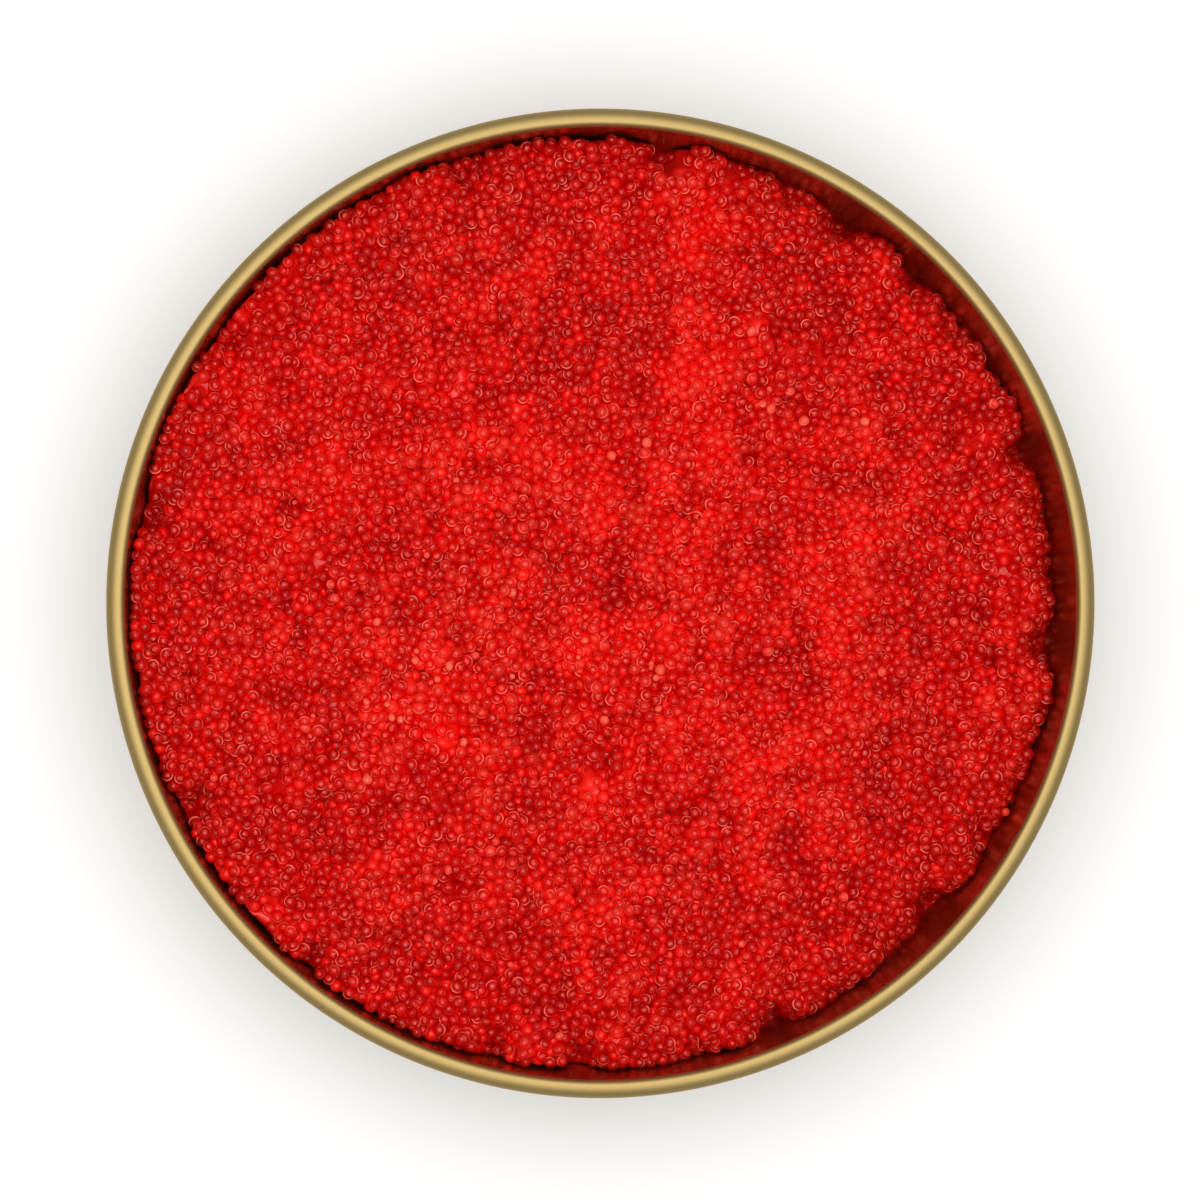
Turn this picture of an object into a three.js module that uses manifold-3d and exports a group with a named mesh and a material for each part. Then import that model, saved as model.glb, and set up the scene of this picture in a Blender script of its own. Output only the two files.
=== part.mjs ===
// A shallow round tin with a rolled rim, filled almost to the top with masago (capelin roe).
// Millimetres, +Z up. The origin is the centre of the base, on the surface the tin stands on.

import * as THREE from 'three';
import { mergeVertices } from 'three/addons/utils/BufferGeometryUtils.js';
import Module from 'manifold-3d';

const wasm = await Module();
wasm.setup();

const { degToRad, lerp, smoothstep } = THREE.MathUtils;

// Driving dimensions of the tin
const RIM_RADIUS = 35;
const TIN_HEIGHT = 21;
const SHEET = 0.3;
const BEAD_OUTER_WIDTH = 0.8; // from the rolled edge's crest out to the rim
const BEAD_INNER_WIDTH = 0.5; // and from its crest in to the opening
const BEAD_HALF_HEIGHT = 0.65;
const BEAD_UNDERSIDE = degToRad(-118); // where the wall runs into the rolled edge
const BEAD_STEPS = 8;
const TAPER = degToRad(4); // the wall leans outwards towards the rim
const CORNER_RADIUS = 3.5; // outer bend from the wall into the foot
const CORNER_STEPS = 3;
const FOOT_WIDTH = 2.6; // flat ring that the tin stands on
const PANEL_LIFT = 0.8; // the middle of the base is pressed up, clear of the surface
const TIN_SEGMENTS = 60;

// Driving dimensions of the masago
const EGG_DIAMETER = 0.95;
const FIT_GAP = 0.3; // clear of the tin all round and below
const MIDDLE_DEPTH = 2.4; // from the rim down to the surface, in the middle
const SIDE_SLOPE = 1.1; // the surface is this much higher at -X and lower at +X
const EDGE_WIDTH = 3.2; // over this width the surface falls away towards the wall
const EDGE_DROP_LEFT = 0.2;
const EDGE_DROP_RIGHT = 4;
const DROP_STARTS = -0.2; // the drop grows between these two directions round the tin,
const DROP_IS_FULL = 0.6; // given as the cosine of the angle from +X
const EDGE_PIT = 2.2; // extra drop in the bays of the heap's ragged edge
const PIT_STARTS = 0.3; // reach of the bays where that drop starts and is full
const PIT_IS_FULL = 0.9;
const BUMP_PITCH = 1.4; // egg-sized bumps, in rows packed like balls
const BUMP_HEIGHT = 0.55;
const BUMP_JITTER = 0.16; // in parts of the pitch
const TIP_VARIATION = 0.3; // in parts of a tip's height over the level
const LOOSE_EGGS = 30;
const LOOSE_EGG_REACH = 30; // loose eggs lie this far out at most
const LOOSE_EGG_LIFT = 0.18; // how far a loose egg's centre lies above the tip it sits on

// Waves of the heap's edge, into bays and out: how many round the tin, reach, turn
const EDGE_WAVES = [
  [7, 0.35, 0.9],
  [17, 0.45, 2.3],
  [29, 0.45, 4.1],
  [41, 0.35, 5.6],
];

// Clumps and hollows of the surface: x, y, radius, height
const LUMPS = [
  [-4.8, 15.2, 3.4, -1.0],
  [-10.4, 19.6, 2.6, -0.8],
  [-1.2, 19.8, 2.4, -0.7],
  [16.6, 20.4, 3.4, -0.9],
  [26.4, 13.2, 3.0, -0.9],
  [17.6, 9.4, 2.2, -0.8],
  [1.6, 0.8, 2.2, -0.9],
  [11.2, -5.8, 3.2, -0.9],
  [26.4, -0.8, 2.6, -0.8],
  [21.4, -13.4, 2.6, -0.8],
  [16.8, -22.6, 3.4, -1.1],
  [7.8, -21.8, 2.8, -0.8],
  [-5.0, -26.6, 3.2, -1.1],
  [-6.2, -17.6, 2.8, -0.7],
  [-21.2, -18.8, 3.2, -1.0],
  [-28.6, -12.8, 2.6, -0.8],
  [-31.0, 7.6, 2.6, -1.1],
  [-17.0, 28.2, 2.2, -0.8],
  [-20.6, -1.4, 2.6, -0.7],
  [6.6, 14.2, 3.2, 0.8],
  [12.4, 16.2, 3.0, 0.7],
  [5.6, 4.4, 3.4, 0.7],
  [-0.6, -3.6, 2.8, 0.6],
  [5.8, -7.2, 2.8, 0.7],
  [-16.2, -8.0, 3.6, 0.8],
  [-16.4, 11.0, 3.2, 0.5],
  [10.8, -14.4, 3.2, 0.7],
  [17.6, 2.6, 3.0, 0.7],
  [8.8, 22.6, 2.6, 0.6],
  [-9.6, 23.4, 2.6, 0.5],
  [-3.6, 8.0, 2.8, 0.5],
  [0.4, -22.4, 2.6, 0.6],
];

// The same draws every time
let seed = 20261201;
function random() {
  seed = (seed + 0x6d2b79f5) | 0;
  let t = Math.imul(seed ^ (seed >>> 15), 1 | seed);
  t = (t + Math.imul(t ^ (t >>> 7), 61 | t)) ^ t;
  return ((t ^ (t >>> 14)) >>> 0) / 4294967296;
}

function spread(reach) {
  return reach * (2 * random() - 1);
}

// Wall line: the inner face meets the bead at its middle height, where it is widest.
const BEAD_LEVEL = TIN_HEIGHT - BEAD_HALF_HEIGHT;
const BEAD_CREST_RADIUS = RIM_RADIUS - BEAD_OUTER_WIDTH;
const WALL_TOP_RADIUS = BEAD_CREST_RADIUS - BEAD_INNER_WIDTH + SHEET / Math.cos(TAPER);
const CORNER_CENTRE = WALL_TOP_RADIUS
  - (CORNER_RADIUS + (BEAD_LEVEL - CORNER_RADIUS) * Math.sin(TAPER)) / Math.cos(TAPER);

// Radius of the face that lies `inset` inside the outer wall, at height z
function wallRadius(inset, z) {
  return WALL_TOP_RADIUS - inset / Math.cos(TAPER) - (BEAD_LEVEL - z) * Math.tan(TAPER);
}

function arcPoints(centre, radius, from, to, steps) {
  return Array.from({ length: steps + 1 }, (_, i) => {
    const angle = lerp(from, to, i / steps);
    return new THREE.Vector2(centre.x + radius * Math.cos(angle), centre.y + radius * Math.sin(angle));
  });
}

// Bend from floor to wall, `inset` inside the outer face, starting at the height of the floor
function cornerPoints(inset, floor, steps) {
  const centre = new THREE.Vector2(CORNER_CENTRE, CORNER_RADIUS);
  const radius = CORNER_RADIUS - inset;
  const start = -Math.asin((CORNER_RADIUS - floor) / radius);
  return arcPoints(centre, radius, start, -TAPER, steps);
}

// The tin: one sheet, pressed up under its middle and rolled at the rim

// From the middle of the base out to the wall, on the face `inset` above the underside.
// The step down to the foot slopes at 45 degrees, which shifts its bends outwards on that face.
function basePoints(inset) {
  const shift = inset * Math.tan(Math.PI / 8);
  const footStart = CORNER_CENTRE - FOOT_WIDTH + shift;
  return [
    new THREE.Vector2(0, PANEL_LIFT + inset),
    new THREE.Vector2(footStart - PANEL_LIFT, PANEL_LIFT + inset),
    new THREE.Vector2(footStart, inset),
    ...cornerPoints(inset, inset, CORNER_STEPS),
  ];
}

// The rolled edge, from the outside of the wall round to its inside
function beadPoints() {
  return arcPoints(new THREE.Vector2(), 1, BEAD_UNDERSIDE, Math.PI, BEAD_STEPS).map(({ x, y }) => {
    const width = x > 0 ? BEAD_OUTER_WIDTH : BEAD_INNER_WIDTH;
    return new THREE.Vector2(BEAD_CREST_RADIUS + width * x, BEAD_LEVEL + BEAD_HALF_HEIGHT * y);
  });
}

function tinGeometry() {
  const profile = [
    ...basePoints(0),
    ...beadPoints(),
    ...basePoints(SHEET).reverse(),
  ];
  return new THREE.LatheGeometry(profile, TIN_SEGMENTS).rotateX(Math.PI / 2);
}

// The masago: a solid heap that fits the tin, its surface all egg-sized bumps

const ROE_INSET = SHEET + FIT_GAP;
const ROE_FLOOR = PANEL_LIFT + ROE_INSET;
const ROE_RADIUS = wallRadius(ROE_INSET, TIN_HEIGHT - MIDDLE_DEPTH);

// How far the edge of the heap reaches inwards at this angle round the tin
function bayReach(angle) {
  return EDGE_WAVES.reduce((sum, [count, reach, turn]) => sum + reach * Math.sin(count * angle + turn), 0);
}

function roeLevel(x, y) {
  const radius = Math.hypot(x, y);
  const bay = bayReach(Math.atan2(y, x));
  const onRight = smoothstep(x / Math.max(radius, 1), DROP_STARTS, DROP_IS_FULL);
  const drop = lerp(EDGE_DROP_LEFT, EDGE_DROP_RIGHT, onRight)
    + EDGE_PIT * smoothstep(bay, PIT_STARTS, PIT_IS_FULL);
  const edge = smoothstep(radius + bay, ROE_RADIUS - EDGE_WIDTH, ROE_RADIUS) ** 2;
  let level = TIN_HEIGHT - MIDDLE_DEPTH - (SIDE_SLOPE * x) / ROE_RADIUS - edge * drop;
  for (const [lumpX, lumpY, lumpRadius, height] of LUMPS) {
    level += height * Math.exp(-((x - lumpX) ** 2 + (y - lumpY) ** 2) / lumpRadius ** 2);
  }
  return level;
}

// A slab under the bumpy surface, larger than the tin all round. Its cells are rhombs of
// four pits, and each rises to one tip, so that the tips lie in staggered rows.
function bumpySlab() {
  const rowHeight = (BUMP_PITCH * Math.sqrt(3)) / 2;
  const half = Math.ceil((ROE_RADIUS + BUMP_PITCH) / rowHeight);
  const width = 2 * half + 1;
  const points = [];
  const tips = [];
  const triangles = [];
  const pitIndex = (i, j) => (j + half) * width + i + half;
  const below = (index) => index + width * width;

  const latticePoint = (i, j) => {
    const x = (i + j / 2 + spread(BUMP_JITTER)) * BUMP_PITCH;
    const y = j * rowHeight + spread(BUMP_JITTER) * BUMP_PITCH;
    return new THREE.Vector3(x, y, roeLevel(x, y));
  };
  for (let j = -half; j <= half; j += 1) {
    for (let i = -half; i <= half; i += 1) {
      const pit = latticePoint(i, j);
      pit.z -= BUMP_HEIGHT / 2;
      points.push(pit);
    }
  }
  points.push(...points.map(({ x, y }) => new THREE.Vector3(x, y, 0)));

  for (let j = -half; j < half; j += 1) {
    for (let i = -half; i < half; i += 1) {
      const pits = [pitIndex(i, j), pitIndex(i + 1, j), pitIndex(i + 1, j + 1), pitIndex(i, j + 1)];
      const tip = latticePoint(i + 1 / 2, j + 1 / 2);
      tip.z += (BUMP_HEIGHT / 2) * (1 + spread(TIP_VARIATION));
      tips.push(tip);
      const tipIndex = points.push(tip) - 1;
      pits.forEach((pit, side) => triangles.push(pit, pits[(side + 1) % 4], tipIndex));
      const [a, b, c, d] = pits.map(below);
      triangles.push(a, c, b, a, d, c);
    }
  }
  for (let k = -half; k < half; k += 1) {
    const sides = [
      [pitIndex(k, -half), pitIndex(k + 1, -half)],
      [pitIndex(half, k), pitIndex(half, k + 1)],
      [pitIndex(k + 1, half), pitIndex(k, half)],
      [pitIndex(-half, k + 1), pitIndex(-half, k)],
    ];
    for (const [from, to] of sides) {
      triangles.push(to, from, below(from), to, below(from), below(to));
    }
  }

  const geometry = new THREE.BufferGeometry().setFromPoints(points);
  geometry.setIndex(triangles);
  return { geometry, tips };
}

// The room inside the tin, less the fitting gap
function roomGeometry() {
  const profile = [
    new THREE.Vector2(0, ROE_FLOOR),
    ...cornerPoints(ROE_INSET, ROE_FLOOR, CORNER_STEPS),
    new THREE.Vector2(wallRadius(ROE_INSET, TIN_HEIGHT), TIN_HEIGHT),
    new THREE.Vector2(0, TIN_HEIGHT),
  ];
  return new THREE.LatheGeometry(profile, TIN_SEGMENTS).rotateX(Math.PI / 2);
}

// A whole egg lying on the heap, with few sides
function looseEggGeometry(tip) {
  return new THREE.IcosahedronGeometry(EGG_DIAMETER / 2, 0)
    .rotateX(spread(Math.PI))
    .rotateZ(spread(Math.PI))
    .translate(tip.x, tip.y, tip.z + LOOSE_EGG_LIFT);
}

function toManifold(geometry) {
  geometry.deleteAttribute('normal');
  geometry.deleteAttribute('uv');
  const merged = mergeVertices(geometry, 1e-4);
  const vertProperties = new Float32Array(merged.attributes.position.array);
  const triVerts = new Uint32Array(merged.index.array);
  return new wasm.Manifold(new wasm.Mesh({ numProp: 3, vertProperties, triVerts }));
}

function toGeometry(solid) {
  const { vertProperties, triVerts } = solid.getMesh();
  const geometry = new THREE.BufferGeometry();
  geometry.setAttribute('position', new THREE.BufferAttribute(vertProperties, 3));
  geometry.setIndex(new THREE.BufferAttribute(triVerts, 1));
  geometry.computeVertexNormals();
  return geometry;
}

function masagoGeometry() {
  const { geometry, tips } = bumpySlab();
  const inReach = tips.filter(({ x, y }) => Math.hypot(x, y) < LOOSE_EGG_REACH);
  let heap = toManifold(roomGeometry()).intersect(toManifold(geometry));
  for (let i = 0; i < LOOSE_EGGS; i += 1) {
    const tip = inReach[Math.floor(inReach.length * random())];
    heap = heap.add(toManifold(looseEggGeometry(tip)));
  }
  return toGeometry(heap);
}

// Finishes

function goldTinplate() {
  return new THREE.MeshStandardMaterial({ color: 0xd8b46e, metalness: 1, roughness: 0.3 });
}

function redRoe() {
  return new THREE.MeshStandardMaterial({ color: 0xce1e17, metalness: 0, roughness: 0.25 });
}

function namedMesh(name, geometry, material) {
  const mesh = new THREE.Mesh(geometry, material);
  mesh.name = name;
  return mesh;
}

const tinOfMasago = new THREE.Group();
tinOfMasago.add(
  namedMesh('tin', tinGeometry(), goldTinplate()),
  namedMesh('masago', masagoGeometry(), redRoe()),
);

export default tinOfMasago;
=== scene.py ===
"""A gold tin filled almost to the top with masago, seen from straight above.

Sizes and places are in millimetres, and become metres where Blender gets them.
"""

import itertools
import math

import bpy
import numpy as np
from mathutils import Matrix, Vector, kdtree


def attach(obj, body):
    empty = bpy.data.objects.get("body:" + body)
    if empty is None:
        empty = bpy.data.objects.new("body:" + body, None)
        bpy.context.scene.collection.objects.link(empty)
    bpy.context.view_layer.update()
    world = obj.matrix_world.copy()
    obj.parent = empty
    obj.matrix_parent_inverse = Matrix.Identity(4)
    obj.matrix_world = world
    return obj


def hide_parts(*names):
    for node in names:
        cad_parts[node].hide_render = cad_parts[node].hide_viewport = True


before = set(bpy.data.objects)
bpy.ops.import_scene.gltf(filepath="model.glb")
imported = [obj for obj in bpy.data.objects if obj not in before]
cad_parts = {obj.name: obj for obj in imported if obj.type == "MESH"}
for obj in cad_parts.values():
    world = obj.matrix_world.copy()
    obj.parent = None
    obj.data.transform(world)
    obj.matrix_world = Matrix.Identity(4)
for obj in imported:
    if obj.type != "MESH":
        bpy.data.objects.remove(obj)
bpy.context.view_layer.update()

MM = 0.001
random = np.random.default_rng(20261201)

# Driving dimensions of the tin, as on the solids
RIM_RADIUS = 35.0
TIN_HEIGHT = 21.0
SHEET = 0.3
BEAD_OUTER_WIDTH = 0.8  # from the rolled edge's crest out to the rim
BEAD_INNER_WIDTH = 0.5  # and from its crest in to the opening
BEAD_HALF_HEIGHT = 0.65
BEAD_UNDERSIDE = math.radians(-118)  # where the wall runs into the rolled edge
TAPER = math.radians(4)  # the wall leans outwards towards the rim
CORNER_RADIUS = 3.5  # outer bend from the wall into the foot
FOOT_WIDTH = 2.6  # flat ring that the tin stands on
PANEL_LIFT = 0.8  # the middle of the base is pressed up by this much

# The tin's finer form, which the solids don't have
BEAD_INNER_POWER = 3.4  # over 2, the edge is flatter beside its crest and falls steeply inside
BEAD_STEPS = 28
BEAD_TO_WALL = 0.05  # from each end of the rolled edge down to the wall's next point
CORNER_STEPS = 14
TIN_SEGMENTS = 240

# Driving dimensions of the masago, as on the solids
EGG_DIAMETER = 0.95
MIDDLE_DEPTH = 2.4  # from the rim down to the surface, in the middle
SIDE_SLOPE = 1.1  # the surface is this much higher at -X and lower at +X
EDGE_WIDTH = 3.2  # over this width the surface falls away towards the wall
EDGE_DROP_LEFT = 0.2
EDGE_DROP_RIGHT = 4.0
DROP_STARTS = -0.2  # the drop grows between these two directions round the tin,
DROP_IS_FULL = 0.6  # given as the cosine of the angle from +X
EDGE_PIT = 2.2  # extra drop in the bays of the heap's ragged edge
PIT_STARTS = 0.3  # reach of the bays where that drop starts and is full
PIT_IS_FULL = 0.9
EDGE_WAVES = [  # how many round the tin, reach, turn
    (7, 0.35, 0.9),
    (17, 0.45, 2.3),
    (29, 0.45, 4.1),
    (41, 0.35, 5.6),
]
LUMPS = [  # clumps and hollows of the surface: x, y, radius, height
    (-4.8, 15.2, 3.4, -1.0),
    (-10.4, 19.6, 2.6, -0.8),
    (-1.2, 19.8, 2.4, -0.7),
    (16.6, 20.4, 3.4, -0.9),
    (26.4, 13.2, 3.0, -0.9),
    (17.6, 9.4, 2.2, -0.8),
    (1.6, 0.8, 2.2, -0.9),
    (11.2, -5.8, 3.2, -0.9),
    (26.4, -0.8, 2.6, -0.8),
    (21.4, -13.4, 2.6, -0.8),
    (16.8, -22.6, 3.4, -1.1),
    (7.8, -21.8, 2.8, -0.8),
    (-5.0, -26.6, 3.2, -1.1),
    (-6.2, -17.6, 2.8, -0.7),
    (-21.2, -18.8, 3.2, -1.0),
    (-28.6, -12.8, 2.6, -0.8),
    (-31.0, 7.6, 2.6, -1.1),
    (-17.0, 28.2, 2.2, -0.8),
    (-20.6, -1.4, 2.6, -0.7),
    (6.6, 14.2, 3.2, 0.8),
    (12.4, 16.2, 3.0, 0.7),
    (5.6, 4.4, 3.4, 0.7),
    (-0.6, -3.6, 2.8, 0.6),
    (5.8, -7.2, 2.8, 0.7),
    (-16.2, -8.0, 3.6, 0.8),
    (-16.4, 11.0, 3.2, 0.5),
    (10.8, -14.4, 3.2, 0.7),
    (17.6, 2.6, 3.0, 0.7),
    (8.8, 22.6, 2.6, 0.6),
    (-9.6, 23.4, 2.6, 0.5),
    (-3.6, 8.0, 2.8, 0.5),
    (0.4, -22.4, 2.6, 0.6),
]

# The layer of whole eggs over the core
EGG_LAYER = 1.1  # its depth
FILL = 0.6  # part of it that the eggs take up
SOFTNESS = 0.82  # neighbours' centres come this near, in parts of the sum of their radii
EGG_SPREAD = 0.08  # standard deviation of the diameters, which stay between the next two
SMALLEST_EGG = 0.8
LARGEST_EGG = 1.15
EGG_TOPS = (-0.6, 0.45)  # between these heights over the surface lies the limit of each egg's top
WALL_CLEARANCE = 0.05
NEIGHBOUR_REACH = 2.2  # how far off an egg's neighbours are looked for, in radii of the largest
SEARCHES = 7  # how often they are looked for anew
PUSHES = 10  # how often they are pushed apart after each search
PUSH = 0.35  # how far each of the two moves in one push, in parts of their overlap

# The core under them
CORE_DEPTH = 1.2  # from the heap's surface down to the core's
CORE_STEP = 0.35
CORE_WALL_GAP = 0.4
CORE_FLOOR_GAP = 0.1
BURIED_PITCH = 0.8 * EGG_DIAMETER  # between the eggs of its relief
BURIED_SHIFT = 0.35  # how far they stand out of line, in parts of that pitch
BURIED_RISE = 0.25  # and how far up or down

# Kinds of eggs, and the tones between their dark and light colours, with painted shade
PAINTED_SHADE_LEVELS = (-1.9, 0.7)  # painted shade: heights over the heap's slope where the tone is 0, in the hollows, and 1, on the clumps
WALL_SHADE = 0.8  # how much lower the tone is at the wall
WALL_SHADE_POWER = 3
TONE_SPREAD = (-0.15, 0.2)  # drawn for each egg and added to its tone
TOP_KINDS = ("plain", "ringed", "bright")
TOP_SHARES = (0.34, 0.33, 0.33)
DEEP_SHARE = 0.25  # this part of the eggs, the deepest ones, is a darker red as painted shade, and less clear
PALE_SHARE = 0.012
PALE_SHARE_IN_SPOTS = 0.5
PALE_DEPTH = 0.7  # no pale egg's centre lies lower under the surface
PALE_SHRINK = (0.35, 0.85)  # they are this much smaller, and lie as high as the others
PALE_SPOTS = [  # x, y, radius of the places where they gather
    (-12.1, -4.0, 1.6),
    (-14.6, -7.2, 1.7),
    (-17.2, -7.9, 1.2),
    (-5.7, 0.2, 1.2),
    (-0.7, -3.3, 1.3),
    (4.6, -4.7, 1.2),
    (-8.0, -17.6, 1.0),
    (12.4, 14.8, 1.2),
]

# Looks of the eggs: `clearness` is how much light goes through, `painted_highlight` how strongly
# the painted highlight ring and dot show, and `uneven` the standard deviation of an egg's three
# radii, in parts of them
EGG_LOOKS = {
    "plain": dict(
        dark=(0.83, 0.006, 0.004),
        light=(0.98, 0.018, 0.009),
        clearness=0.82,
        painted_highlight=0.3,
        uneven=0.035,
    ),
    "ringed": dict(
        dark=(0.83, 0.007, 0.004),
        light=(0.98, 0.019, 0.010),
        clearness=0.82,
        painted_highlight=0.8,
        uneven=0.035,
    ),
    "bright": dict(
        dark=(0.88, 0.009, 0.006),
        light=(1.0, 0.048, 0.026),
        clearness=0.72,
        painted_highlight=0.5,
        uneven=0.035,
    ),
    "shaded": dict(
        dark=(0.81, 0.005, 0.003),
        light=(0.96, 0.014, 0.007),
        clearness=0.2,
        painted_highlight=0.15,
        uneven=0.035,
    ),
    "pale": dict(
        dark=(0.95, 0.05, 0.03),
        light=(1.0, 0.15, 0.085),
        clearness=0.4,
        painted_highlight=0.6,
        uneven=0.15,
    ),
}
MOIST = {
    "IOR": 1.0,
    "Roughness": 0.15,
    "Coat Weight": 0.65,
    "Coat Roughness": 0.12,
    "Coat IOR": 1.36,
}
# colour of the painted highlight on the eggs, a pale ring and a dot
PAINTED_HIGHLIGHT_COLOUR = (1.0, 0.28, 0.19)
PAINTED_HIGHLIGHT_LEAN = math.radians(28)  # the painted highlight's ring lies this far from level at most, and its dot this far from the top
PAINTED_HIGHLIGHT_RING_AND_DOT = [  # how strongly the painted highlight shows at heights on a ball of radius 1: a ring, then a dot
    (0.36, 0),
    (0.47, 1),
    (0.53, 1),
    (0.64, 0),
    (0.88, 0),
    (0.98, 0.8),
]
PAINTED_HIGHLIGHT_SIDES = (-0.35, 0.6)  # along the ball's X the painted highlight shows from the first, fully at the second

# Looks of the core, the tin and the floor
# the core runs from its dark to its light colour by painted shade
CORE_DARK = (0.77, 0.005, 0.003)
CORE_LIGHT = (0.96, 0.016, 0.009)
CORE_MOTTLE = (0.75, 0.75, 0.75)
CORE_MOTTLE_SCALE = 500
CORE_FINISH = {
    "Roughness": 0.7,
    "Specular IOR Level": 0.1,
    "Coat Weight": 0.7,
    "Coat Roughness": 0.2,
    "Coat IOR": 1.36,
}
WALL_GOLD = (0.52, 0.33, 0.12)
EDGE_GOLD = (0.36, 0.255, 0.097)
WALL_ROUGHNESS = 0.22
GRAIN_ROUGHNESS = 0.08  # added at most by the grain
GRAIN_SCALE = 900
EDGE_ROUGHNESS = 0.3  # added all along the rolled edge
FLOOR_COLOUR = (0.86, 0.86, 0.86)
FLOOR_ROUGHNESS = 0.9
FLOOR_HALF = 600.0

# The light, and the photograph's view
SKY_STRENGTH = 0.5
LAMP_SIZE = 420.0
LAMP_WATTS = 2.05
LAMP_PLACE = (-20.0, 10.0, 470.0)
CAMERA_DISTANCE = 320.0  # from the rim's middle
FRAME_WIDTH = 84.7  # width in view at the rim
FRAME_SHIFT = (-0.003, 0.0028)  # in parts of that width
SENSOR_WIDTH = 36.0
LEAN = math.radians(3)  # the camera stands a little to the left
NEAREST_IN_VIEW = 10.0


# Shared forms

BEAD_LEVEL = TIN_HEIGHT - BEAD_HALF_HEIGHT
BEAD_CREST_RADIUS = RIM_RADIUS - BEAD_OUTER_WIDTH
WALL_TOP_RADIUS = BEAD_CREST_RADIUS - BEAD_INNER_WIDTH + SHEET / math.cos(TAPER)
CORNER_CENTRE = (
    WALL_TOP_RADIUS
    - (CORNER_RADIUS + (BEAD_LEVEL - CORNER_RADIUS) * math.sin(TAPER)) / math.cos(TAPER)
)


def wall_radius(inset, z):
    """Radius of the face that lies `inset` inside the outer wall, at height z."""
    return WALL_TOP_RADIUS - inset / math.cos(TAPER) - (BEAD_LEVEL - z) * math.tan(TAPER)


ROE_RADIUS = wall_radius(SHEET, TIN_HEIGHT - MIDDLE_DEPTH)


def smoothstep(x, low, high):
    t = np.clip((x - low) / (high - low), 0, 1)
    return t * t * (3 - 2 * t)


def slope_level(x):
    """Height of the heap's surface without its clumps, hollows and edge."""
    return TIN_HEIGHT - MIDDLE_DEPTH - SIDE_SLOPE * x / ROE_RADIUS


def roe_level(x, y):
    """Height of the heap's surface, with its clumps, hollows and ragged edge."""
    radius = np.hypot(x, y)
    angle = np.arctan2(y, x)
    bay = sum(reach * np.sin(count * angle + turn) for count, reach, turn in EDGE_WAVES)
    on_right = smoothstep(x / np.maximum(radius, 1), DROP_STARTS, DROP_IS_FULL)
    drop = EDGE_DROP_LEFT + (EDGE_DROP_RIGHT - EDGE_DROP_LEFT) * on_right
    drop = drop + EDGE_PIT * smoothstep(bay, PIT_STARTS, PIT_IS_FULL)
    edge = smoothstep(radius + bay, ROE_RADIUS - EDGE_WIDTH, ROE_RADIUS) ** 2
    level = slope_level(x) - edge * drop
    for lump_x, lump_y, lump_radius, height in LUMPS:
        away = (x - lump_x) ** 2 + (y - lump_y) ** 2
        level = level + height * np.exp(-away / lump_radius**2)
    return level


def ripples(count, shortest, longest, height):
    """A function of x and y made of waves in many directions; `height` is root mean square."""
    length = random.uniform(shortest, longest, count)
    heading = random.uniform(0, math.tau, count)
    phase = random.uniform(0, math.tau, count)
    along_x = math.tau / length * np.cos(heading)
    along_y = math.tau / length * np.sin(heading)
    scale = height / math.sqrt(count / 2)

    def at(x, y):
        waves = np.sin(np.multiply.outer(x, along_x) + np.multiply.outer(y, along_y) + phase)
        return scale * waves.sum(axis=-1)

    return at


unevenness = ripples(count=50, shortest=2.2, longest=7.0, height=0.36)
patchiness = ripples(count=16, shortest=6.0, longest=18.0, height=0.23)


def uneven_level(x, y):
    return roe_level(x, y) + unevenness(x, y)


def new_object(name, vertices, faces, material, smooth=True):
    """A mesh object from arrays in millimetres; every face has the same number of corners."""
    mesh = bpy.data.meshes.new(name)
    mesh.vertices.add(len(vertices))
    mesh.vertices.foreach_set("co", np.asarray(vertices, np.float32).ravel() * MM)
    corners = faces.shape[1]
    mesh.loops.add(faces.size)
    mesh.loops.foreach_set("vertex_index", faces.astype(np.int32).ravel())
    mesh.polygons.add(len(faces))
    mesh.polygons.foreach_set("loop_start", np.arange(0, faces.size, corners, dtype=np.int32))
    mesh.polygons.foreach_set("use_smooth", np.full(len(faces), smooth))
    mesh.update(calc_edges=True)
    mesh.validate()
    mesh.materials.append(material)
    piece = bpy.data.objects.new(name, mesh)
    bpy.context.collection.objects.link(piece)
    return piece


def set_values(piece, name, values):
    """One number from 0 to 1 for every vertex, for the material to read."""
    attribute = piece.data.attributes.new(name, "FLOAT", "POINT")
    attribute.data.foreach_set("value", np.clip(values, 0, 1).astype(np.float32))


# The tin


def arc(centre, radius, start, end, steps):
    angles = np.linspace(start, end, steps + 1)
    return [(centre[0] + radius * math.cos(a), centre[1] + radius * math.sin(a)) for a in angles]


def base_points(inset):
    """From the middle of the base out to the wall, on the face `inset` above the underside.

    The step down to the foot slopes at 45 degrees, which shifts its bends outwards on that face.
    """
    shift = inset * math.tan(math.pi / 8)
    foot_start = CORNER_CENTRE - FOOT_WIDTH + shift
    lift = PANEL_LIFT + inset
    centre = (CORNER_CENTRE, CORNER_RADIUS)
    corner = arc(centre, CORNER_RADIUS - inset, -math.pi / 2, -TAPER, CORNER_STEPS)
    return [(0, lift), (foot_start - PANEL_LIFT, lift), (foot_start, inset)] + corner


def bead_points():
    """The rolled edge, from the outside of the wall round to its inside."""
    points = []
    for x, z in arc((0, 0), 1, BEAD_UNDERSIDE, math.pi, BEAD_STEPS):
        width = BEAD_OUTER_WIDTH if x > 0 else BEAD_INNER_WIDTH
        if x < 0 < z:
            length = (abs(x) ** BEAD_INNER_POWER + z**BEAD_INNER_POWER) ** (1 / BEAD_INNER_POWER)
            x, z = x / length, z / length
        points.append((BEAD_CREST_RADIUS + width * x, BEAD_LEVEL + BEAD_HALF_HEIGHT * z))
    return points


def wall_point_under(bead_end, inset):
    z = bead_end[1] - BEAD_TO_WALL
    return wall_radius(inset, z), z


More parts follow.
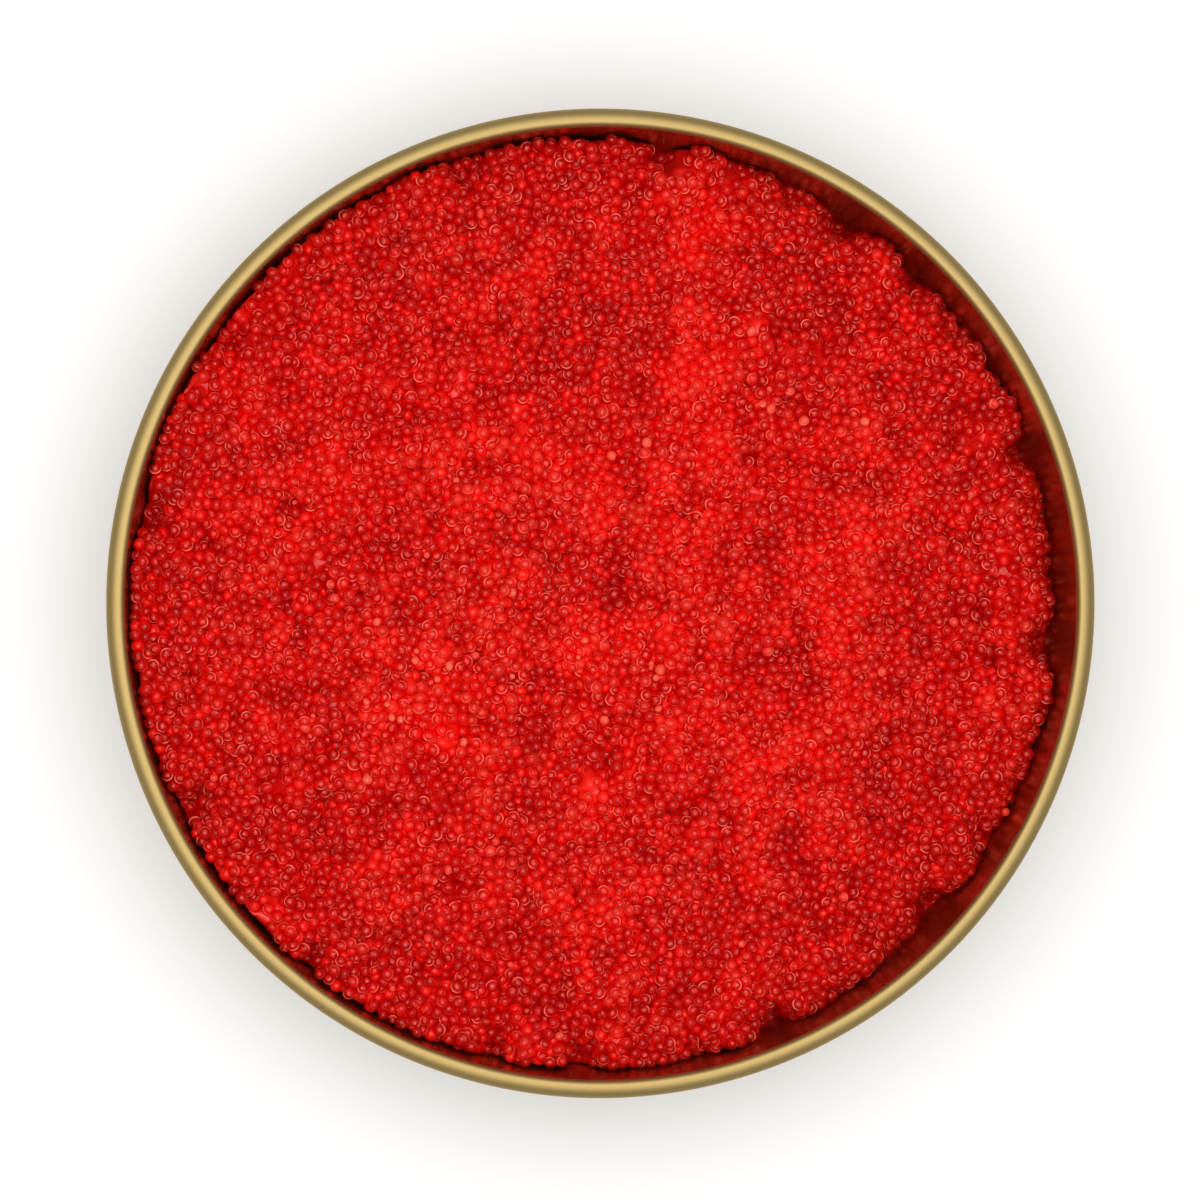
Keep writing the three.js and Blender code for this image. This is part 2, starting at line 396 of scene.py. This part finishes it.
def make_tin(material):
    """One closed sheet, turned from its section: under the base, up, over the edge and back."""
    bead = bead_points()
    outside = base_points(0) + [wall_point_under(bead[0], 0)]
    inside = [wall_point_under(bead[-1], SHEET)] + base_points(SHEET)[::-1]
    profile = outside + bead + inside
    angles = np.arange(TIN_SEGMENTS) * math.tau / TIN_SEGMENTS
    ring = profile[1:-1]
    vertices = [(0, 0, profile[0][1]), (0, 0, profile[-1][1])]
    for radius, z in ring:
        vertices += [(radius * math.cos(a), radius * math.sin(a), z) for a in angles]
    faces = []
    for row in range(len(ring) - 1):
        for k in range(TIN_SEGMENTS):
            a = 2 + row * TIN_SEGMENTS + k
            b = 2 + row * TIN_SEGMENTS + (k + 1) % TIN_SEGMENTS
            faces += [(a, b, b + TIN_SEGMENTS), (a, b + TIN_SEGMENTS, a + TIN_SEGMENTS)]
    last = 2 + (len(ring) - 1) * TIN_SEGMENTS
    for k in range(TIN_SEGMENTS):
        after = (k + 1) % TIN_SEGMENTS
        faces += [(0, 2 + after, 2 + k), (1, last + k, last + after)]
    tin = new_object("gold_tin", np.array(vertices), np.array(faces), material)
    rolled = [0] * (len(outside) - 1) + [1] * len(bead) + [0] * (len(inside) - 1)
    set_values(tin, "rolled", np.concatenate([[0, 0], np.repeat(rolled, TIN_SEGMENTS)]))
    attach(tin, "root")
    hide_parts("tin")


# The whole eggs


def geodesic():
    """A ball of radius 1 with 80 sides: an icosahedron with each side cut in four."""
    golden = (1 + math.sqrt(5)) / 2
    corners = []
    for a, b in ((1, golden), (-1, golden), (1, -golden), (-1, -golden)):
        corners += [(0, a, b), (a, b, 0), (b, 0, a)]
    points = [Vector(corner).normalized() for corner in corners]
    side = min((points[0] - other).length for other in points[1:]) + 1e-6
    middles = {}

    def middle(p, q):
        key = (min(p, q), max(p, q))
        if key not in middles:
            middles[key] = len(points)
            points.append((points[p] + points[q]).normalized())
        return middles[key]

    faces = []
    for p, q, r in itertools.combinations(range(12), 3):
        a, b, c = points[p], points[q], points[r]
        if max((a - b).length, (b - c).length, (c - a).length) > side:
            continue
        if (b - a).cross(c - a).dot(a) < 0:
            q, r = r, q
        pq, qr, rp = middle(p, q), middle(q, r), middle(r, p)
        faces += [(p, pq, rp), (pq, q, qr), (rp, qr, r), (pq, qr, rp)]
    return np.array(points), np.array(faces)


def search_tree(points):
    tree = kdtree.KDTree(len(points))
    for index, point in enumerate(points):
        tree.insert(point, index)
    tree.balance()
    return tree


def neighbour_pairs(points, reach):
    """Two arrays of indices: the first and the second of each pair of near points."""
    tree = search_tree(points)
    pairs = []
    for index, point in enumerate(points):
        pairs += [(index, other) for _, other, _ in tree.find_range(point, reach) if other > index]
    return np.array(pairs).T


def pack_eggs():
    """Centres and radii of loose balls, pushed apart until they barely press together."""
    volume = math.pi * ROE_RADIUS**2 * EGG_LAYER
    count = int(FILL * volume / (math.pi / 6 * (SOFTNESS * EGG_DIAMETER) ** 3))
    diameters = random.normal(EGG_DIAMETER, EGG_SPREAD, count)
    radii = np.clip(diameters, SMALLEST_EGG, LARGEST_EGG) / 2
    ceiling = random.uniform(*EGG_TOPS, count)

    reach = (ROE_RADIUS - EGG_DIAMETER / 2) * np.sqrt(random.random(count))
    heading = random.uniform(0, math.tau, count)
    points = np.stack([reach * np.cos(heading), reach * np.sin(heading), np.zeros(count)], axis=1)
    points[:, 2] = uneven_level(points[:, 0], points[:, 1]) - random.uniform(0, EGG_LAYER, count)

    def keep_inside():
        z = points[:, 2]
        radius = np.hypot(points[:, 0], points[:, 1])
        limit = wall_radius(SHEET, z) - radii - WALL_CLEARANCE
        scale = np.minimum(1, limit / np.maximum(radius, 1e-6))
        points[:, 0] *= scale
        points[:, 1] *= scale
        level = uneven_level(points[:, 0], points[:, 1])
        points[:, 2] = np.clip(z, level - EGG_LAYER, level + ceiling - radii)

    for _ in range(SEARCHES):
        first, second = neighbour_pairs(points, NEIGHBOUR_REACH * radii.max())
        for _ in range(PUSHES):
            gap = points[second] - points[first]
            apart = np.maximum(np.linalg.norm(gap, axis=1), 1e-6)
            overlap = SOFTNESS * (radii[first] + radii[second]) - apart
            hit = overlap > 0
            push = PUSH * (overlap[hit] / apart[hit])[:, None] * gap[hit]
            for axis in range(3):
                points[:, axis] -= np.bincount(first[hit], push[:, axis], count)
                points[:, axis] += np.bincount(second[hit], push[:, axis], count)
            keep_inside()
    return points, radii


def painted_shade_and_patches(points):
    """Tones, mostly from 0 to 1, as painted shade: light on the clumps, dark in the hollows and by
    the wall; plus patches that differ at random.
    """
    x, y, z = points.T
    wall_shade_mask = (np.hypot(x, y) / ROE_RADIUS) ** WALL_SHADE_POWER
    return smoothstep(z - slope_level(x), *PAINTED_SHADE_LEVELS) + patchiness(x, y) - WALL_SHADE * wall_shade_mask


def choose_kinds(points):
    """Names of kinds: pale ones gather in places, and the lowest ones are a darker kind, as
    painted shade.
    """
    x, y, z = points.T
    count = len(points)
    depth = uneven_level(x, y) - z
    kinds = random.choice(TOP_KINDS, count, p=TOP_SHARES)
    lowest = np.argsort(-depth)[: int(DEEP_SHARE * count)]
    # the lowest eggs get the darker kind: painted shade
    kinds[lowest] = "shaded"
    pale = random.random(count) < PALE_SHARE
    for spot_x, spot_y, spot_radius in PALE_SPOTS:
        near = np.hypot(x - spot_x, y - spot_y) < spot_radius
        pale |= near & (random.random(count) < PALE_SHARE_IN_SPOTS)
    kinds[pale & (depth < PALE_DEPTH)] = "pale"
    return kinds


def random_turns(count, most):
    """Rotation matrices: any turn about Z, then a lean of `most` at most, in any direction."""
    spin = random.uniform(0, math.tau, count)
    lean = most * np.sqrt(random.random(count))
    heading = random.uniform(0, math.tau, count)
    nothing = np.zeros(count)
    one = np.ones(count)

    def stacked(rows):
        return np.moveaxis(np.array(rows), 2, 0)

    def about_z(angle):
        c, s = np.cos(angle), np.sin(angle)
        return stacked([[c, -s, nothing], [s, c, nothing], [nothing, nothing, one]])

    c, s = np.cos(lean), np.sin(lean)
    about_y = stacked([[c, nothing, s], [nothing, one, nothing], [-s, nothing, c]])
    return about_z(heading) @ about_y @ about_z(spin)


def make_eggs(name, points, radii, shades_and_tones, uneven, material):
    """One piece of many eggs, each a slightly uneven ball.

    `shade_and_tone` is how light an egg is, from painted shade and random tone. `place` is the
    direction from its centre, on axes of its own, along which the material paints a highlight ring
    and dot.
    """
    ball, ball_faces = geodesic()
    count = len(points)
    turns = random_turns(count, math.pi)
    shape = radii[:, None] * random.normal(1, uneven, (count, 3))
    offsets = np.einsum("nij,nvj->nvi", turns, ball[None] * shape[:, None])
    vertices = offsets + points[:, None]
    faces = ball_faces[None] + len(ball) * np.arange(count)[:, None, None]
    piece = new_object(name, vertices.reshape(-1, 3), faces.reshape(-1, 3), material)

    set_values(piece, "shade_and_tone", np.repeat(shades_and_tones, len(ball)))
    # leaning axes and directions on each egg, where its painted highlight ring and dot are drawn
    highlight_axes = random_turns(count, PAINTED_HIGHLIGHT_LEAN)
    highlight_directions = np.einsum("nij,nvi->nvj", highlight_axes, offsets / radii[:, None, None])
    place = piece.data.attributes.new("place", "FLOAT_VECTOR", "POINT")
    place.data.foreach_set("vector", highlight_directions.astype(np.float32).ravel())

    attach(piece, "root")
    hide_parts("masago")


# The core


def buried_relief(x, y):
    """Tops of eggs buried side by side in the core, over the level of its surface."""
    reach = math.ceil(ROE_RADIUS / BURIED_PITCH) + 2
    i, j = np.meshgrid(np.arange(-reach, reach + 1), np.arange(-reach, reach + 1))
    centres = np.stack([i * BURIED_PITCH, j * BURIED_PITCH, np.zeros_like(i)], axis=2)
    centres = centres.reshape(-1, 3)
    shifts = random.uniform(-BURIED_SHIFT, BURIED_SHIFT, (len(centres), 2))
    centres[:, :2] += shifts * BURIED_PITCH
    rise = random.uniform(-BURIED_RISE, BURIED_RISE, len(centres))
    tree = search_tree(centres)
    found = [tree.find((a, b, 0))[1:] for a, b in zip(x.ravel(), y.ravel())]
    nearest, away = np.array(found).T
    top = np.sqrt(np.maximum((EGG_DIAMETER / 2) ** 2 - away**2, 0)) - EGG_DIAMETER / 2
    return (top + rise[nearest.astype(int)]).reshape(x.shape)


def round_grid(half, radius):
    """x and y of a square grid, `half` steps to each side, bent so that it fills a circle."""
    spots = np.arange(-half, half + 1) / half
    u, v = np.meshgrid(spots, spots)
    along_x = np.abs(u) >= np.abs(v)
    safe_u = np.where(u == 0, 1, u)
    safe_v = np.where(v == 0, 1, v)
    angle = np.where(along_x, math.pi / 4 * v / safe_u, math.pi / 2 - math.pi / 4 * u / safe_v)
    reach = np.where(along_x, u, v) * radius
    return reach * np.cos(angle), reach * np.sin(angle)


def make_core(material):
    """The heap under the loose eggs: one closed solid with egg-sized relief."""
    x, y = round_grid(int(ROE_RADIUS / CORE_STEP), ROE_RADIUS - CORE_WALL_GAP)
    z = uneven_level(x, y) - CORE_DEPTH + buried_relief(x, y)
    top = np.stack([x, y, z], axis=2).reshape(-1, 3)
    index = np.arange(len(top)).reshape(x.shape)
    quads = np.stack([index[:-1, :-1], index[:-1, 1:], index[1:, 1:], index[1:, :-1]], axis=2)
    rim = np.concatenate([index[0, :-1], index[:-1, -1], index[-1, :0:-1], index[:0:-1, 0]])
    floor_z = PANEL_LIFT + SHEET + CORE_FLOOR_GAP
    low = top[rim]
    low[:, :2] *= (CORNER_CENTRE / np.hypot(low[:, 0], low[:, 1]))[:, None]
    low[:, 2] = floor_z
    vertices = np.concatenate([top, low, [[0, 0, floor_z]]])
    low_index = len(top) + np.arange(len(rim))
    centre = len(vertices) - 1
    after = np.roll(np.arange(len(rim)), -1)
    quads = quads.reshape(-1, 4)
    faces = np.concatenate([
        quads[:, [0, 1, 2]],
        quads[:, [0, 2, 3]],
        np.stack([rim, low_index, rim[after]], axis=1),
        np.stack([rim[after], low_index, low_index[after]], axis=1),
        np.stack([low_index, np.full(len(rim), centre), low_index[after]], axis=1),
    ])
    piece = new_object("roe_core", vertices, faces, material)
    # painted shade and patches as on the surface above: darker in the hollows and by the wall
    set_values(piece, "shade_and_tone", painted_shade_and_patches(vertices + np.array([0, 0, CORE_DEPTH])))
    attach(piece, "root")
    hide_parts("masago")


# Materials


def new_material(name):
    material = bpy.data.materials.new(name)
    material.use_nodes = True
    tree = material.node_tree
    return material, tree, tree.nodes["Principled BSDF"]


def set_finish(shader, finish):
    for socket, value in finish.items():
        shader.inputs[socket].default_value = value


def feed(tree, socket, value):
    """Gives a socket a number or a colour, or the output of another node."""
    if isinstance(value, bpy.types.NodeSocket):
        tree.links.new(value, socket)
    else:
        socket.default_value = value


def read_attribute(tree, name):
    node = tree.nodes.new("ShaderNodeAttribute")
    node.attribute_name = name
    return node


def add_noise(tree, scale):
    node = tree.nodes.new("ShaderNodeTexNoise")
    node.inputs["Scale"].default_value = scale
    return node.outputs["Fac"]


def mix_colours(tree, amount, start, end, blend="MIX"):
    node = tree.nodes.new("ShaderNodeMix")
    node.data_type = "RGBA"
    node.blend_type = blend
    feed(tree, node.inputs["Factor"], amount)
    feed(tree, node.inputs["A"], start)
    feed(tree, node.inputs["B"], end)
    return node.outputs["Result"]


def multiply_add(tree, value, factor, addend):
    node = tree.nodes.new("ShaderNodeMath")
    node.operation = "MULTIPLY_ADD"
    feed(tree, node.inputs[0], value)
    feed(tree, node.inputs[1], factor)
    feed(tree, node.inputs[2], addend)
    return node.outputs["Value"]


def add_flesh(tree, dark, light):
    """A colour between dark and light, by the mesh's painted shade and random tone."""
    shade_and_tone = read_attribute(tree, "shade_and_tone")
    return mix_colours(tree, shade_and_tone.outputs["Fac"], (*dark, 1), (*light, 1))


def add_painted_highlight(tree, strength):
    """How strongly the painted highlight shows, from 0 to 1, by the direction from the egg's
    centre: a ring near its outline and a dot near its top.
    """
    place = read_attribute(tree, "place")
    direction = tree.nodes.new("ShaderNodeVectorMath")
    direction.operation = "NORMALIZE"
    tree.links.new(place.outputs["Vector"], direction.inputs[0])
    split = tree.nodes.new("ShaderNodeSeparateXYZ")
    tree.links.new(direction.outputs["Vector"], split.inputs["Vector"])

    ring_and_dot = tree.nodes.new("ShaderNodeValToRGB")
    stops = ring_and_dot.color_ramp.elements
    while len(stops) < len(PAINTED_HIGHLIGHT_RING_AND_DOT):
        stops.new(1)
    for stop, (height, shown) in zip(stops, PAINTED_HIGHLIGHT_RING_AND_DOT):
        stop.position = height
        stop.color = (shown, shown, shown, 1)
    tree.links.new(split.outputs["Z"], ring_and_dot.inputs["Fac"])

    side = tree.nodes.new("ShaderNodeMapRange")
    side.inputs["From Min"].default_value, side.inputs["From Max"].default_value = PAINTED_HIGHLIGHT_SIDES
    side.inputs["To Max"].default_value = strength
    tree.links.new(split.outputs["X"], side.inputs["Value"])

    amount = tree.nodes.new("ShaderNodeMath")
    amount.operation = "MULTIPLY"
    amount.use_clamp = True
    tree.links.new(ring_and_dot.outputs["Color"], amount.inputs[0])
    tree.links.new(side.outputs["Result"], amount.inputs[1])
    return amount.outputs["Value"]


def egg_material(name, look):
    """Moist egg between a dark and a light colour, with a painted highlight, a pale curved ring
    and a dot, where less light goes through.
    """
    material, tree, shader = new_material(name)
    flesh = add_flesh(tree, look["dark"], look["light"])
    painted_highlight = add_painted_highlight(tree, look["painted_highlight"])
    # the painted highlight is pale and lets less light through
    colour = mix_colours(tree, painted_highlight, flesh, (*PAINTED_HIGHLIGHT_COLOUR, 1))
    clear = multiply_add(tree, painted_highlight, -look["clearness"], look["clearness"])
    tree.links.new(colour, shader.inputs["Base Color"])
    tree.links.new(clear, shader.inputs["Transmission Weight"])
    set_finish(shader, MOIST)
    return material


def core_material():
    """The mass under the eggs, mottled, darker and lighter by painted shade, and matt under a
    moist coat.
    """
    material, tree, shader = new_material("roe_mass")
    flesh = add_flesh(tree, CORE_DARK, CORE_LIGHT)
    noise = add_noise(tree, CORE_MOTTLE_SCALE)
    mottled = mix_colours(tree, noise, flesh, (*CORE_MOTTLE, 1), blend="MULTIPLY")
    tree.links.new(mottled, shader.inputs["Base Color"])
    set_finish(shader, CORE_FINISH)
    return material


def gold_material():
    """Lacquered tinplate: brushed matt along the rolled edge, glossier on the wall."""
    material, tree, shader = new_material("gold_lacquer")
    rolled = read_attribute(tree, "rolled").outputs["Fac"]
    colour = mix_colours(tree, rolled, (*WALL_GOLD, 1), (*EDGE_GOLD, 1))
    grain = multiply_add(tree, add_noise(tree, GRAIN_SCALE), GRAIN_ROUGHNESS, WALL_ROUGHNESS)
    roughness = multiply_add(tree, rolled, EDGE_ROUGHNESS, grain)
    tree.links.new(colour, shader.inputs["Base Color"])
    tree.links.new(roughness, shader.inputs["Roughness"])
    shader.inputs["Metallic"].default_value = 1
    return material


def floor_material():
    material, _, shader = new_material("pale_floor")
    shader.inputs["Base Color"].default_value = (*FLOOR_COLOUR, 1)
    shader.inputs["Roughness"].default_value = FLOOR_ROUGHNESS
    return material


# Floor, light and camera


def make_floor(material):
    corners = [(x, y, 0) for x, y in ((-1, -1), (1, -1), (1, 1), (-1, 1))]
    corners = FLOOR_HALF * np.array(corners)
    floor = new_object("floor", corners, np.array([[0, 1, 2, 3]]), material, smooth=False)


def make_light():
    world = bpy.data.worlds.new("studio")
    bpy.context.scene.world = world
    world.use_nodes = True
    sky = world.node_tree.nodes["Background"]
    sky.inputs["Color"].default_value = (1, 1, 1, 1)
    sky.inputs["Strength"].default_value = SKY_STRENGTH
    lamp = bpy.data.lights.new("overhead_softbox", "AREA")
    lamp.shape = "DISK"
    lamp.size = LAMP_SIZE * MM
    lamp.energy = LAMP_WATTS
    softbox = bpy.data.objects.new("overhead_softbox", lamp)
    softbox.location = [place * MM for place in LAMP_PLACE]
    bpy.context.collection.objects.link(softbox)


def make_camera():
    data = bpy.data.cameras.new("camera")
    data.sensor_width = SENSOR_WIDTH
    data.lens = SENSOR_WIDTH * CAMERA_DISTANCE / FRAME_WIDTH
    data.clip_start = NEAREST_IN_VIEW * MM
    data.shift_x, data.shift_y = FRAME_SHIFT
    camera = bpy.data.objects.new("camera", data)
    target = Vector((0, 0, TIN_HEIGHT * MM))
    away = Vector((-math.sin(LEAN), 0, math.cos(LEAN))) * CAMERA_DISTANCE * MM
    camera.location = target + away
    camera.rotation_euler = (0, -LEAN, 0)
    bpy.context.collection.objects.link(camera)
    bpy.context.scene.camera = camera


# The masago: whole eggs of each kind over a core


def make_masago():
    make_core(core_material())
    points, radii = pack_eggs()
    # painted shade from each egg's height and nearness to the wall, plus a random tone of its own
    shades_and_tones = painted_shade_and_patches(points) + random.uniform(*TONE_SPREAD, len(points))
    kinds = choose_kinds(points)
    pale = kinds == "pale"
    shrink = random.uniform(*PALE_SHRINK, int(pale.sum()))
    points[pale, 2] += (1 - shrink) * radii[pale]
    radii[pale] *= shrink
    for kind, look in EGG_LOOKS.items():
        mine = kinds == kind
        material = egg_material(f"egg_{kind}", look)
        make_eggs(f"eggs_{kind}", points[mine], radii[mine], shades_and_tones[mine], look["uneven"], material)


bpy.context.scene.view_settings.view_transform = "Standard"
make_camera()
make_light()
make_floor(floor_material())
make_tin(gold_material())
make_masago()
